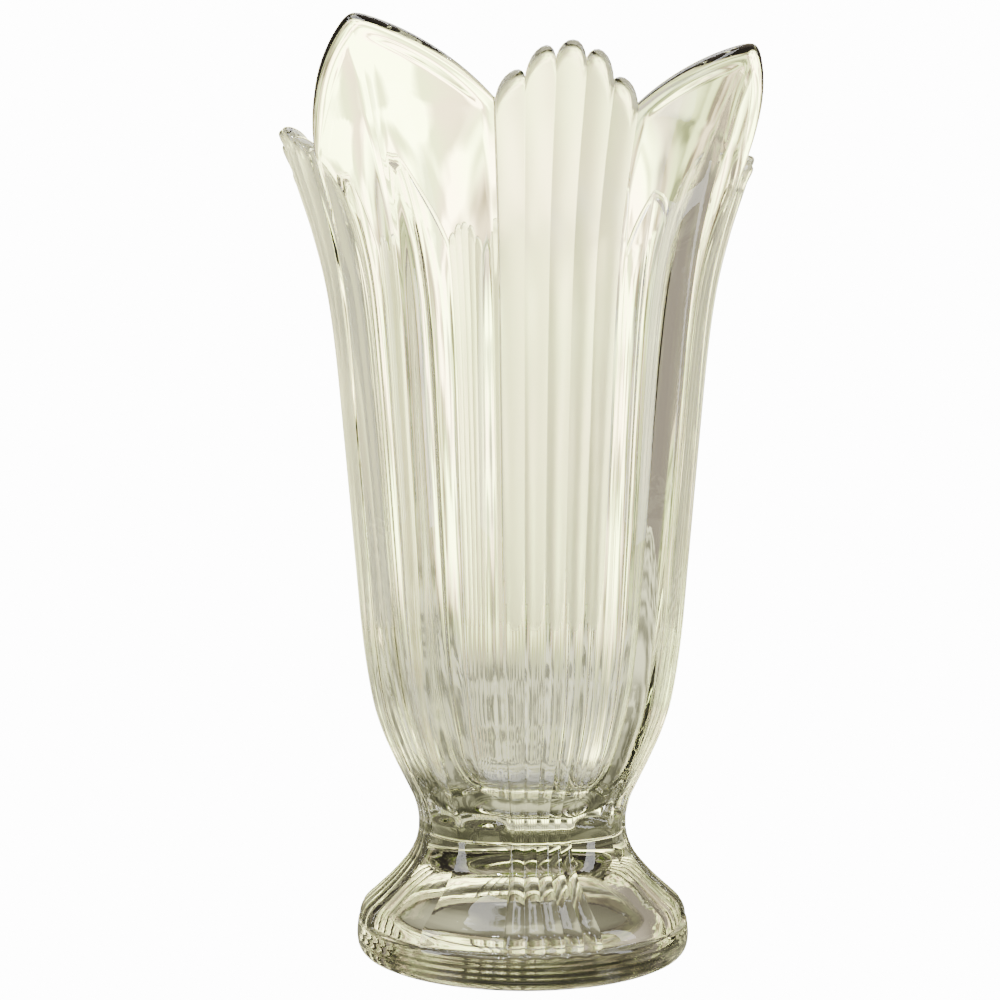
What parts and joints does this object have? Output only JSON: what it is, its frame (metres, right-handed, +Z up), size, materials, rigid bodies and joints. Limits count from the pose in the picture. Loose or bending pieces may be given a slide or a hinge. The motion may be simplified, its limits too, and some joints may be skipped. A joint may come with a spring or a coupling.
{
  "type": "fan vase",
  "caption": "Tall footed vase of pressed clear glass: a flared bowl of frosted reeded fans between creased petals, with a lobed and pointed rim, on a domed pedestal foot.",
  "frame": {"origin": "centre of the standing ring, on the surface that the vase stands on", "axes": "+Z up along the vase's axis to its mouth; the four fans face +X, +Y, -X and -Y and the petals lie between them"},
  "size_m": [0.1474, 0.1474, 0.251],
  "materials": {
    "clear_glass": "clear fire-polished pressed glass, etched to a soft frost on the outside of the fans"
  },
  "bodies": {
    "root": {"bowl": "clear_glass", "foot": "clear_glass"}
  },
  "joints": []
}
